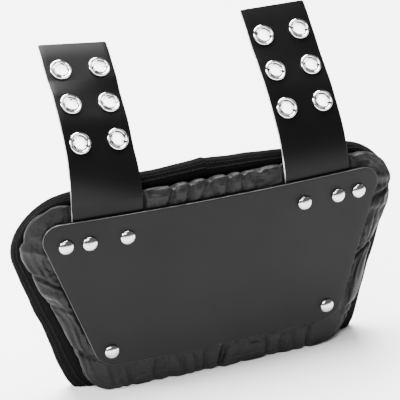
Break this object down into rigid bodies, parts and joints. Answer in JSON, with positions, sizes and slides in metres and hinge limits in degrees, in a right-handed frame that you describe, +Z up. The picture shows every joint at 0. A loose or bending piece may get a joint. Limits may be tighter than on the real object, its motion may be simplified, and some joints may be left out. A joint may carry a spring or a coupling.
{
  "type": "football back plate",
  "caption": "Bowed trapezoid plastic plate riveted over a gathered fabric pad, with curved plastic straps whose grommets take the screws of shoulder pads.",
  "frame": {"origin": "the middle, seen from above, of the whole part's bounding box, on the surface that the pad stands on", "axes": "+X across the back to the right as seen from the plate's outer face, +Y from the plate's outer face towards the wearer, +Z up towards the straps"},
  "size_m": [0.3414, 0.0996, 0.2955],
  "materials": {
    "plate_plastic": "satin dark grey sheet",
    "strap_plastic": "semi-gloss black sheet",
    "grommet_metal": "bright nickel plate",
    "rivet_metal": "bright nickel plate",
    "cover_nylon": "gathered woven nylon with a soft sheen",
    "panel_cloth": "dull knitted mesh",
    "binding_tape": "dull ribbed tape"
  },
  "bodies": {
    "root": {"back_plate": "plate_plastic", "pad_front": "cover_nylon", "pad_back": "panel_cloth", "pad_binding": "binding_tape", "left_strap": "strap_plastic", "left_grommet_1": "grommet_metal", "left_grommet_2": "grommet_metal", "left_grommet_3": "grommet_metal", "left_grommet_4": "grommet_metal", "left_grommet_5": "grommet_metal", "left_grommet_6": "grommet_metal", "left_rivet_inner": "rivet_metal", "left_rivet_outer": "rivet_metal", "left_rivet_upper": "rivet_metal", "left_rivet_lower": "rivet_metal", "right_strap": "strap_plastic", "right_grommet_1": "grommet_metal", "right_grommet_2": "grommet_metal", "right_grommet_3": "grommet_metal", "right_grommet_4": "grommet_metal", "right_grommet_5": "grommet_metal", "right_grommet_6": "grommet_metal", "right_rivet_inner": "rivet_metal", "right_rivet_outer": "rivet_metal", "right_rivet_upper": "rivet_metal", "right_rivet_lower": "rivet_metal"}
  },
  "joints": []
}
